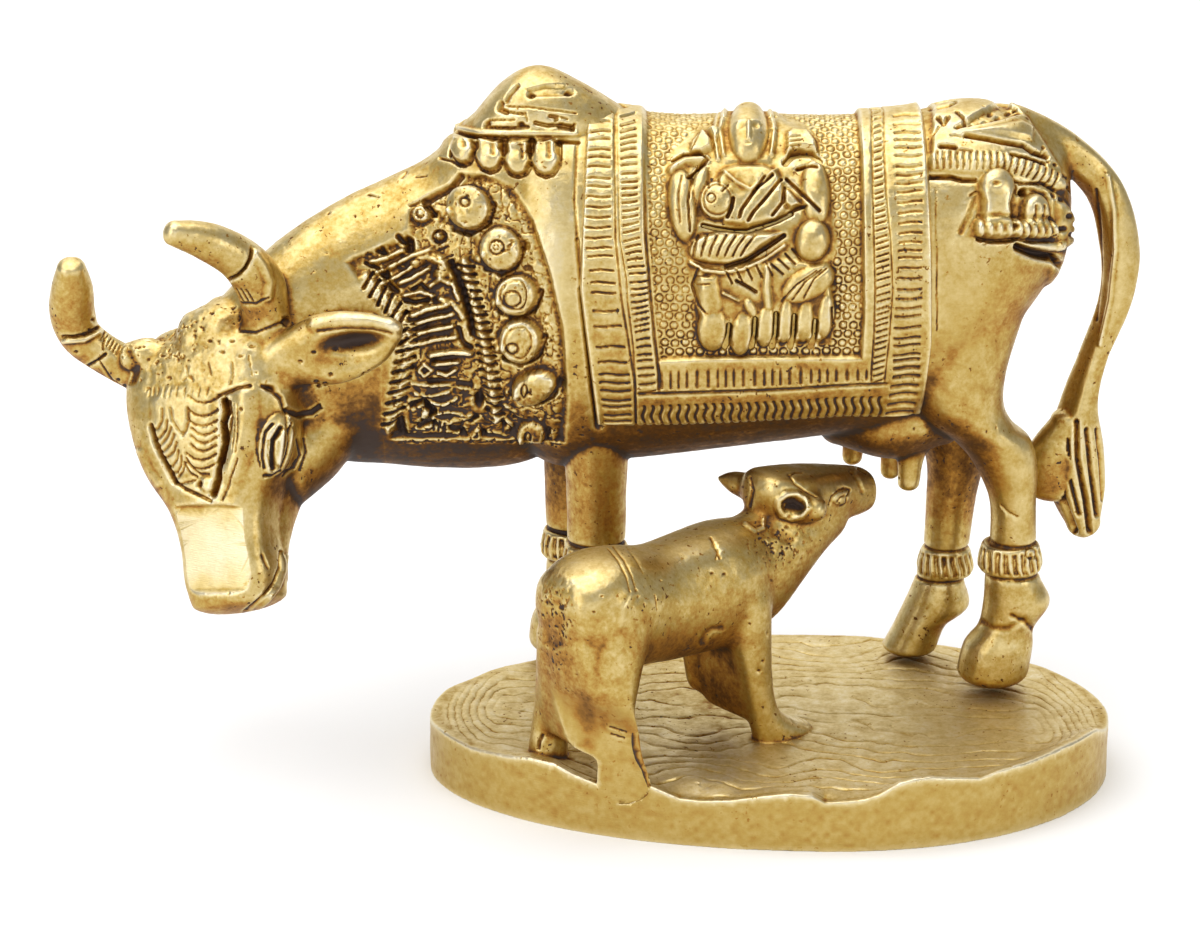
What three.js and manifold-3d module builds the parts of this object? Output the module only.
// A brass cow that turns its head towards the viewer, with its calf suckling under it, on an oval base.
// Millimetres, +Z up. The origin is the middle of the base's underside. The cow walks along -X and
// turns its face towards -Y. The cow is one casting; the base and the calf are another.
import * as THREE from "three";
import { mergeVertices } from "three/addons/utils/BufferGeometryUtils.js";
import Module from "manifold-3d";

const wasm = await Module();
wasm.setup();

// Driving sizes.
const BASE_WIDEST_X = 10; // where the oval is widest
const BASE_HEAD_END = 67.6; // from there to the end under the head
const BASE_TAIL_END = 47.8; // and to the end under the tail
const BASE_HALF_WIDTH = 37;
const BASE_HEIGHT = 9.5;
const COW_Y = 19; // the cow's middle plane, behind the calf
const NEAR_LEG_Y = 11.5;
const FAR_LEG_Y = 27;
const CLOTH_FRONT = -31.6;
const CLOTH_REAR = 25.2;
const CLOTH_LOW = 62.2;
const CLOTH_THICK = 0.6;
const BORDER_THICK = 1.3;
const BORDER_WIDE = 5;
const CALF_AT = [-32, -26.3]; // the ground point between the calf's hind feet
const CALF_TURN = THREE.MathUtils.degToRad(39);
const CALF_STANCE = 8.8; // from the calf's middle plane to its feet

const brass = new THREE.MeshStandardMaterial({ color: 0xc9a24a, roughness: 0.35, metalness: 1 });

// A closed geometry as a solid that can be joined and cut.
function solid(geometry) {
  const bare = geometry.clone();
  bare.deleteAttribute("normal");
  bare.deleteAttribute("uv");
  const merged = mergeVertices(bare, 1e-4);
  return new wasm.Manifold(
    new wasm.Mesh({
      numProp: 3,
      vertProperties: new Float32Array(merged.attributes.position.array),
      triVerts: new Uint32Array(merged.index.array),
    }),
  );
}

function joined(solids) {
  return solids.reduce((whole, piece) => whole.add(piece));
}

function geometryOf(body) {
  const mesh = body.getMesh();
  return new THREE.BufferGeometry()
    .setAttribute("position", new THREE.BufferAttribute(new Float32Array(mesh.vertProperties), 3))
    .setIndex(new THREE.BufferAttribute(new Uint32Array(mesh.triVerts), 1));
}

// A smooth run (Catmull-Rom) through rows of numbers, with so many steps between two rows.
function smooth(rows, steps) {
  const last = rows.length - 1;
  const out = [];
  for (let i = 0; i < last; i++) {
    const before = rows[Math.max(i - 1, 0)];
    const after = rows[Math.min(i + 2, last)];
    for (let k = 0; k < steps; k++) {
      const t = k / steps;
      out.push(
        rows[i].map((v, c) => {
          const [a, b, d] = [before[c], rows[i + 1][c], after[c]];
          const bend = (2 * a - 5 * v + 4 * b - d) * t * t;
          return 0.5 * (2 * v + (b - a) * t + bend + (3 * v - a - 3 * b + d) * t ** 3);
        }),
      );
    }
  }
  out.push(rows[last]);
  return out;
}

// A body carried along a line. Each row is x, y, z of the middle, then the half sizes across and up.
// across: roughly the direction of the first half size. axis: what the sections are square to, or
// null for the path itself. cap: how far the rounded ends stand out. power: 2 is an ellipse, more is
// squarer. lean: how much narrower a section is at its top than at its middle.
function loft(rows, options = {}) {
  const { sides = 14, steps = 2, across = [0, 1, 0], axis = null, cap = [2, 2], power = 2, lean = 0 } = options;
  const run = smooth(rows, steps);
  const middle = (i) => new THREE.Vector3(...run[Math.min(Math.max(i, 0), run.length - 1)].slice(0, 3));
  const forward = axis && middle(run.length).sub(middle(0)).dot(new THREE.Vector3(...axis)) < 0 ? -1 : 1;
  const rounded = (v) => Math.sign(v) * Math.abs(v) ** (2 / power);
  const points = [];
  // One ring of the section at row i, moved along by shift and shrunk by size.
  const ring = (i, shift, size) => {
    const along = axis ? new THREE.Vector3(...axis) : middle(i + 1).sub(middle(i - 1)).normalize();
    const side = new THREE.Vector3(...across);
    side.addScaledVector(along, -along.dot(side)).normalize();
    const up = new THREE.Vector3().crossVectors(along, side);
    const centre = middle(i).addScaledVector(along, shift * forward);
    if (size === 0) {
      points.push(centre);
      return;
    }
    for (let k = 0; k < sides; k++) {
      const turn = (2 * Math.PI * k) / sides;
      const high = rounded(Math.sin(turn));
      const wide = rounded(Math.cos(turn)) * (1 - lean * high);
      const point = centre.clone().addScaledVector(side, run[i][3] * wide * size);
      points.push(point.addScaledVector(up, run[i][4] * high * size));
    }
  };
  const end = run.length - 1;
  ring(0, -cap[0], 0);
  ring(0, -cap[0] * 0.85, 0.55);
  ring(0, -cap[0] * 0.5, 0.87);
  run.forEach((row, i) => ring(i, 0, 1));
  ring(end, cap[1] * 0.5, 0.87);
  ring(end, cap[1] * 0.85, 0.55);
  ring(end, cap[1], 0);
  const index = [];
  const rings = run.length + 4;
  for (let i = 0; i < rings - 1; i++)
    for (let k = 0; k < sides; k++) {
      const a = 1 + i * sides + k;
      const b = 1 + i * sides + ((k + 1) % sides);
      index.push(a, b, b + sides, a, b + sides, a + sides);
    }
  for (let k = 0; k < sides; k++) {
    const next = (k + 1) % sides;
    const base = 1 + (rings - 1) * sides;
    index.push(0, 1 + next, 1 + k);
    index.push(points.length - 1, base + k, base + next);
  }
  const made = new THREE.BufferGeometry().setFromPoints(points).setIndex(index);
  const body = solid(made);
  if (body.volume() > 0) return body;
  return solid(made.setIndex(index.reverse()));
}

function placed(body, matrix) {
  return body.transform(matrix.elements);
}

function block(x0, x1, y0, y1, z0, z1) {
  const made = new THREE.BoxGeometry(x1 - x0, y1 - y0, z1 - z0);
  made.translate((x0 + x1) / 2, (y0 + y1) / 2, (z0 + z1) / 2);
  return solid(made);
}

// The cow's trunk: x, y, z of the middle, half width, half height.
const TRUNK = [
  [-44, COW_Y, 80.5, 15, 27.5],
  [-36, COW_Y, 79.5, 18, 31],
  [-27, COW_Y, 79.5, 19.3, 30],
  [-16, COW_Y, 79.6, 20, 28.8],
  [-3, COW_Y, 80.5, 20, 28],
  [10, COW_Y, 81.2, 20, 27],
  [22, COW_Y, 82.7, 19.6, 26.3],
  [32, COW_Y, 87.5, 18.4, 23.4],
  [40, COW_Y, 90.8, 16, 19.2],
  [46, COW_Y, 93.3, 11.5, 13.5],
];
const TRUNK_POWER = 2.2;
const TRUNK_LEAN = 0.12;

function trunk(grown = 0) {
  const rows = TRUNK.map(([x, y, z, w, h]) => [x, y, z, w + grown, h + grown]);
  return loft(rows, { sides: 20, steps: 1, axis: [1, 0, 0], cap: [5, 4.5], power: TRUNK_POWER, lean: TRUNK_LEAN });
}

// Where the trunk's near side is at x and z: the point and the way out of the surface there.
function onTrunk(x, z) {
  const at = (px, pz) => {
    let i = 0;
    while (i < TRUNK.length - 2 && TRUNK[i + 1][0] < px) i++;
    const t = (px - TRUNK[i][0]) / (TRUNK[i + 1][0] - TRUNK[i][0]);
    const [, , mid, wide, tall] = TRUNK[i].map((v, c) => v + (TRUNK[i + 1][c] - v) * t);
    const high = Math.min(Math.max((pz - mid) / tall, -0.98), 0.98);
    return COW_Y - wide * (1 - TRUNK_LEAN * high) * (1 - Math.abs(high) ** TRUNK_POWER) ** (1 / TRUNK_POWER);
  };
  const slopeX = (at(x + 0.5, z) - at(x - 0.5, z)) / 1;
  const slopeZ = (at(x, z + 0.5) - at(x, z - 0.5)) / 1;
  return { point: new THREE.Vector3(x, at(x, z), z), out: new THREE.Vector3(slopeX, -1, slopeZ).normalize() };
}

// A rounded lump lying on the trunk: half sizes along the cow, up its side, and out of it.
function lump(x, z, half, turn = 0) {
  const { point, out } = onTrunk(x, z);
  const made = new THREE.SphereGeometry(1, 8, 4);
  made.scale(...half);
  made.rotateZ(turn);
  const along = new THREE.Vector3(1, 0, 0).addScaledVector(out, -out.x).normalize();
  const up = new THREE.Vector3().crossVectors(out, along);
  made.applyMatrix4(new THREE.Matrix4().makeBasis(along, up, out).setPosition(point));
  return solid(made);
}

// A round knob of the harness, facing sideways out of the neck.
function knob(x, y, z, radius, out) {
  const made = new THREE.CylinderGeometry(radius * 0.8, radius, 4, 8);
  made.applyQuaternion(
    new THREE.Quaternion().setFromUnitVectors(new THREE.Vector3(0, 1, 0), new THREE.Vector3(...out).normalize()),
  );
  made.translate(x, y, z);
  return solid(made);
}

function hump() {
  return loft(
    [
      [-52, COW_Y, 101, 6.5, 5],
      [-45, COW_Y, 106, 8, 8.6],
      [-38.5, COW_Y, 108, 8.6, 9.4],
      [-31, COW_Y, 106.5, 8, 7.6],
      [-23, COW_Y, 104, 6, 5],
    ],
    { axis: [1, 0, 0], steps: 1, cap: [4, 4] },
  );
}

// The neck reaches from inside the trunk to behind the horns.
const NECK = [
  [-36, COW_Y, 79.5, 15, 28.5],
  [-42, COW_Y, 79.6, 16.6, 31],
  [-48.6, COW_Y, 78.8, 15.8, 31.2],
  [-57, 18.5, 75, 14.8, 27.2],
  [-65.4, 17.5, 73.4, 13.8, 24.6],
  [-71.2, 16, 72.6, 13, 23],
  [-78.7, 14, 71.4, 12, 20],
  [-85.1, 12.8, 70, 11, 16.6],
  [-92, 12, 68, 9, 11.5],
];

function neck(grown = 0) {
  const rows = NECK.map(([x, y, z, w, h]) => [x, y, z, w + grown, h + grown]);
  return loft(rows, { sides: 18, steps: 1, axis: [1, 0, 0], cap: [2, 6], lean: 0.12 });
}

// The head's own frame: x across to the cow's left, y up the face, z out of the forehead.
const HEAD_AT = new THREE.Vector3(-97.2, 3.1, 72.9);
const FACE_UP = new THREE.Vector3(-0.141, 0.359, 0.922).normalize();
const FACE_OUT = new THREE.Vector3(-0.432, -0.861, 0.269).normalize();
const FACE_SIDE = new THREE.Vector3().crossVectors(FACE_UP, FACE_OUT).normalize();

// Down the front of the face, and down the jaws behind it.
const FACE = [
  [-0.5, 3, -9, 10, 5.4],
  [-0.5, 0, -8, 14, 7.4],
  [-0.5, -7, -7.6, 15.6, 7.8],
  [-0.5, -14, -7.2, 15, 7.4],
  [-0.5, -20, -7.2, 13.2, 7],
  [-0.5, -26, -7, 9.6, 6.8],
  [-0.5, -32, -6.6, 8.2, 6.4],
  [-0.5, -38, -6.6, 8.3, 6.4],
  [-0.5, -42, -6.8, 7.8, 6],
];
const JAWS = [
  [0, 2, -15, 9, 8],
  [0, -4, -16, 12.4, 10],
  [0, -12, -16.6, 12.6, 10.6],
  [0, -20, -15.6, 11.4, 10.4],
  [0, -27, -13, 8.8, 8.2],
  [0, -34, -10.4, 7.4, 5.4],
  [0, -40, -9.6, 7, 4.2],
];

// Along each horn: x, y, z and half thickness both ways.
const LEFT_HORN = [
  [12.5, -1, -7, 4.4, 4.4],
  [14, 5, -4.5, 4.4, 4.4],
  [15, 9, -2, 4.6, 4.6],
  [14.5, 13, 2.5, 3.9, 3.9],
  [11.5, 15.7, 8, 3.2, 3.2],
  [8.5, 17.4, 13, 2.1, 2.1],
];
const RIGHT_HORN = [
  [-12.5, -2, -6, 3.6, 3.6],
  [-17, 1.4, -3.5, 3.3, 3.3],
  [-20.3, 5.5, 0, 3.3, 3.3],
  [-20, 9.5, 3, 3.6, 3.6],
  [-17.5, 13, 6, 3.3, 3.3],
  [-15.7, 16, 8.5, 2.2, 2.2],
];
// The left ear stands out along the neck, the right one is laid back.
const LEFT_EAR = [
  [9, -6.5, -13.5, 3.4, 3.8],
  [16, -4.4, -13, 3, 5.3],
  [24, -2.4, -13, 2.4, 5.2],
  [30.5, -1.4, -13.5, 1.6, 3.2],
];
const RIGHT_EAR = [
  [-10, -4, -13, 4.2, 3],
  [-14.5, -1.6, -17, 4.8, 2.6],
  [-17, 0.6, -22.5, 4.4, 2],
  [-18.5, 1.6, -27, 2.4, 1.2],
];

function head() {
  const upright = { across: [1, 0, 0], axis: [0, 1, 0], steps: 1 };
  const pieces = [
    loft(FACE, { ...upright, sides: 18, cap: [2, 2.4], power: 3 }),
    loft(JAWS, { ...upright, sides: 12, cap: [2, 2], power: 2.4 }),
    loft(LEFT_HORN, { sides: 10, steps: 1, across: [0, 0, 1], cap: [1, 1.6] }),
    loft(RIGHT_HORN, { sides: 10, steps: 1, across: [0, 0, 1], cap: [1, 1.4] }),
    loft(LEFT_EAR, { sides: 10, steps: 1, across: [0, 0, 1], cap: [1, 1.4], power: 2.2 }),
    loft(RIGHT_EAR, { sides: 8, steps: 1, across: [0, 1, 0], cap: [1, 1] }),
  ];
  return placed(joined(pieces), new THREE.Matrix4().makeBasis(FACE_SIDE, FACE_UP, FACE_OUT).setPosition(HEAD_AT));
}

// A leg down along z: x, y, z, half size along the cow, half size across it.
function leg(rows, cap) {
  return loft(rows, { sides: 10, steps: 1, across: [1, 0, 0], axis: [0, 0, 1], cap: [3, cap] });
}

const NEAR_HIND = [
  [32.5, 13, 82, 12, 9],
  [31.9, 12, 73.8, 9.8, 9.6],
  [31.2, 11, 66.8, 8.6, 9.2],
  [31.8, 10.5, 61.5, 7.7, 8.4],
  [34.2, 10.5, 58, 6.9, 7.2],
  [37.7, 11, 55, 6.6, 6.4],
  [40.4, 11.3, 50, 5.3, 5.6],
  [41.8, NEAR_LEG_Y, 43.7, 4, 4.6],
  [42.1, NEAR_LEG_Y, 36, 4, 4.4],
  [42.2, NEAR_LEG_Y, 30.1, 4.7, 4.6],
  [43.1, NEAR_LEG_Y, 25.5, 5.7, 5],
  [41.4, NEAR_LEG_Y, 20.9, 4.8, 4.8],
  [40.2, NEAR_LEG_Y, 17.6, 6, 5.6],
  [39.4, NEAR_LEG_Y, 13, 6.2, 6],
];
const FAR_HIND = [
  [32, 25, 80, 12, 9],
  [31, 26.5, 66, 9, 9],
  [31.5, FAR_LEG_Y, 57, 7.6, 7.4],
  [33.3, FAR_LEG_Y, 46.8, 5.2, 5.4],
  [32.8, FAR_LEG_Y, 38.5, 4.3, 4.6],
  [32.2, FAR_LEG_Y, 30.1, 4, 4.4],
  [31.3, FAR_LEG_Y, 24.5, 4.2, 4.4],
  [30.8, FAR_LEG_Y, 19.2, 5.8, 5],
  [28.2, FAR_LEG_Y, 15.8, 4.6, 4.8],
  [26.3, FAR_LEG_Y, 11.6, 4.8, 5],
];

function foreLeg(x, y) {
  return leg(
    [
      [x + 1, y, 66, 8, 7.5],
      [x, y, 56, 6, 6.4],
      [x, y, 47, 5.2, 5.4],
      [x, y, 38, 5, 4.8],
      [x, y, 30, 4.7, 4.7],
      [x + 0.6, y, 25.5, 5.5, 5],
      [x - 0.6, y, 21, 4.7, 4.8],
      [x - 1.6, y, 17, 5.8, 5.6],
      [x - 2, y, 13, 6, 5.8],
    ],
    3.2,
  );
}

function bracelet(x, y, z, radius) {
  const profile = [
    [0, -2.9],
    [radius - 0.3, -2.9],
    [radius + 0.6, -1.4],
    [radius, 2],
    [radius - 0.9, 2.9],
    [0, 2.9],
  ];
  const made = new THREE.LatheGeometry(
    profile.map(([r, h]) => new THREE.Vector2(r, h)),
    10,
  );
  made.rotateX(Math.PI / 2);
  made.translate(x, y, z);
  return solid(made);
}

function udder() {
  const teat = (x, y, low, radius) =>
    loft(
      [
        [x, y, 54, radius * 1.9, radius * 1.7],
        [x - 0.4, y, low, radius, radius],
      ],
      { sides: 8, steps: 1, across: [1, 0, 0], axis: [0, 0, 1], cap: [1, 1.4] },
    );
  const bag = new THREE.SphereGeometry(1, 14, 8);
  bag.scale(13, 12, 8);
  bag.translate(21, COW_Y, 57.5);
  return joined([solid(bag), teat(24.6, 14.5, 45.8, 1.9), teat(22.2, 24, 44.8, 1.7), teat(15.6, 24, 47.4, 1.7)]);
}

function tail() {
  const hair = [
    [40, COW_Y, 108, 3.4, 3],
    [48, COW_Y, 104, 3.4, 3],
    [56, COW_Y, 96.4, 3.2, 2.8],
    [59.2, COW_Y, 86, 3, 3],
    [58.8, COW_Y, 77, 2.8, 2.3],
    [55.6, COW_Y, 67.4, 2.6, 1.9],
    [53.6, COW_Y, 59.5, 3.4, 2.3],
    [53.2, COW_Y, 51.5, 4.2, 4.2],
    [53.8, COW_Y, 43.5, 4, 4.4],
    [55, COW_Y, 37.4, 2.6, 2.8],
  ];
  // The hair of the tail is cast on to the hock.
  const bridge = loft(
    [
      [51, COW_Y - 0.5, 55.5, 3, 2.6],
      [48.5, COW_Y - 1.5, 49, 3.4, 4.6],
      [48.5, COW_Y - 1.5, 43.5, 3, 3.6],
    ],
    { sides: 10, steps: 1, across: [0, 1, 0], axis: [0, 0, 1], cap: [2, 2] },
  );
  return joined([loft(hair, { sides: 10, steps: 1, cap: [2, 3] }), bridge]);
}

// The cloth over the back: a thin ground with raised borders, and a seated figure in low relief.
function cloth() {
  const cover = (grown, x0, x1, low) => trunk(grown).intersect(block(x0, x1, -20, 60, low, 130));
  const inner = BORDER_WIDE * 2.2;
  const border = cover(BORDER_THICK, CLOTH_FRONT, CLOTH_REAR, CLOTH_LOW).subtract(
    block(CLOTH_FRONT + inner, CLOTH_REAR - inner, -20, 60, CLOTH_LOW + inner * 0.95, 130),
  );
  const figure = [
    lump(-4, 106.5, [3, 3.6, 2.6]),
    lump(-4, 106, [5.4, 4.6, 1.6]),
    lump(-11, 100, [2, 6, 2], 0.5),
    lump(4, 100, [2, 6, 2], -0.5),
    lump(-4, 96.5, [5, 6.5, 2.6]),
    lump(-9.6, 94.6, [3, 3, 2.6]),
    lump(-4.5, 87, [10.5, 3.8, 3]),
    lump(6.6, 89, [3.6, 4.2, 3]),
    lump(-3.5, 79.5, [12, 5.6, 1.9]),
  ];
  return joined([cover(CLOTH_THICK, CLOTH_FRONT, CLOTH_REAR, CLOTH_LOW), border, ...figure]);
}

// The collar, the row of knobs before the shoulder, and the knobs' twins on the far side.
const KNOBS = [
  [-51.6, 93, 2.6],
  [-46, 85.4, 3.2],
  [-43.2, 76.4, 2.9],
  [-42, 68.6, 3],
  [-40, 60.6, 3.1],
];

function harness() {
  const collar = neck(0.7).intersect(
    block(-1.8, 1.8, -60, 60, -60, 60).rotate(0, -12, 0).translate(-63, 0, 76),
  );
  const knobs = KNOBS.flatMap(([x, z, radius]) => {
    const high = (z - 79) / 31;
    const reach = 17.6 * Math.sqrt(1 - high * high) * (1 + (x + 36) / 80);
    const out = [-0.25, -1, high * 0.5];
    return [
      knob(x, COW_Y - reach, z, radius, out),
      knob(x, COW_Y + reach, z, radius, [out[0], 1, out[2]]),
    ];
  });
  return joined([collar, ...knobs]);
}

// Behind the cloth: an oval plate by the tail's root and two bells hanging from a fringed band.
function rumpWork() {
  return joined([
    lump(34, 105.5, [7.5, 3.4, 1.8]),
    lump(37, 99, [9.5, 1.8, 2], -0.12),
    lump(36, 93, [3.6, 5.8, 2.8]),
    lump(43, 92, [3.2, 5.4, 3]),
  ]);
}

function cow() {
  return joined([
    trunk(),
    cloth(),
    hump(),
    neck(),
    harness(),
    rumpWork(),
    head(),
    leg(NEAR_HIND, 3.1),
    leg(FAR_HIND, 1.8),
    foreLeg(-29.2, NEAR_LEG_Y),
    foreLeg(-33.2, FAR_LEG_Y),
    bracelet(41.7, NEAR_LEG_Y, 33.6, 5),
    bracelet(32.2, FAR_LEG_Y, 27.4, 4.4),
    bracelet(-29.2, NEAR_LEG_Y, 33.6, 5.4),
    bracelet(-33.2, FAR_LEG_Y, 31, 5.4),
    udder(),
    tail(),
  ]);
}

function base() {
  const SEGMENTS = 72;
  const points = [];
  for (let k = 0; k < SEGMENTS; k++) {
    const turn = (2 * Math.PI * k) / SEGMENTS;
    const reach = Math.cos(turn) < 0 ? BASE_HEAD_END : BASE_TAIL_END;
    points.push(
      new THREE.Vector2(BASE_WIDEST_X + reach * Math.cos(turn), BASE_HALF_WIDTH * Math.sin(turn)),
    );
  }
  return solid(new THREE.ExtrudeGeometry(new THREE.Shape(points), { depth: BASE_HEIGHT, bevelEnabled: false }));
}

// The calf in its own frame: x ahead of its hind feet, y to its left, z up from the base's underside.
const CALF_BODY = [
  [-2.5, 0, 39.5, 7.4, 6.6],
  [2, 0, 38, 9.6, 9.4],
  [8, 0, 37, 9.4, 10.3],
  [15, 0, 35.8, 8.6, 10.2],
  [22, 0, 36.2, 8.8, 10.8],
  [29, 0, 36.6, 9, 11.4],
  [34, 0, 36.6, 7.6, 10.8],
];
const CALF_NECK = [
  [29, 0, 37.5, 7.6, 9.6],
  [37, -0.2, 38.4, 7, 10.4],
  [44, -0.6, 42, 6.2, 9],
  [50, -1, 45, 5.6, 6.6],
];
const CALF_HEAD = [
  [39, -0.5, 47.8, 5.6, 4.6],
  [45, -0.8, 47.8, 6.2, 5.4],
  [52, -1, 47.2, 4.8, 4.6],
  [58, -1.2, 46.6, 4, 4],
  [61.2, -1.2, 46.4, 3.4, 3.6],
];

function calf() {
  const limb = (rows, cap) =>
    loft(rows, { sides: 10, steps: 1, across: [1, 0, 0], axis: [0, 0, 1], cap: [2, cap] });
  const web = (x, z0, z1, half) => block(x - half, x + half, -CALF_STANCE + 1, CALF_STANCE - 1, z0, z1);
  const pieces = [
    loft(CALF_BODY, { sides: 16, steps: 1, axis: [1, 0, 0], cap: [3, 3], power: 2.3 }),
    loft(CALF_NECK, { sides: 14, steps: 1, cap: [2, 2] }),
    loft(CALF_HEAD, { sides: 12, steps: 1, axis: [1, 0, 0], cap: [2, 1.4], power: 2.3 }),
    web(1.4, 13.5, 36, 1.6),
    web(32.4, 14.5, 32, 1.8),
  ];
  for (const side of [-1, 1]) {
    pieces.push(
      limb(
        [
          [3.4, side * 5.6, 38, 6.4, 4.4],
          [3.2, side * 6.8, 30, 5, 3.8],
          [2.2, side * 7.6, 23, 3.6, 3.2],
          [1, side * 8.4, 16, 2.9, 2.8],
          [1.2, side * CALF_STANCE, 10, 3, 3],
        ],
        2,
      ),
      limb(
        [
          [30.5, side * 5.4, 36, 4.6, 3.6],
          [31, side * 6.4, 27, 3.2, 3],
          [31.6, side * 7.2, 19, 2.5, 2.4],
          [33.2, side * 7.8, 13, 2.8, 2.6],
          [34.4, side * 8, 9.5, 3.6, 3],
        ],
        2,
      ),
      loft(
        [
          [43, side * 4, 49, 2, 2.4],
          [43, side * 8.2, 49.6, 1.7, 2.8],
          [42.6, side * 10.2, 49.8, 1, 1.6],
        ],
        { sides: 8, steps: 1, across: [1, 0, 0], cap: [1, 1] },
      ),
    );
  }
  const turned = new THREE.Matrix4().makeRotationZ(CALF_TURN).setPosition(CALF_AT[0], CALF_AT[1], 0);
  return placed(joined(pieces), turned);
}

const group = new THREE.Group();
for (const [name, body] of [
  ["cow", cow()],
  ["base_with_calf", joined([base(), calf()])],
]) {
  const mesh = new THREE.Mesh(geometryOf(body), brass);
  mesh.name = name;
  group.add(mesh);
}

export default group;
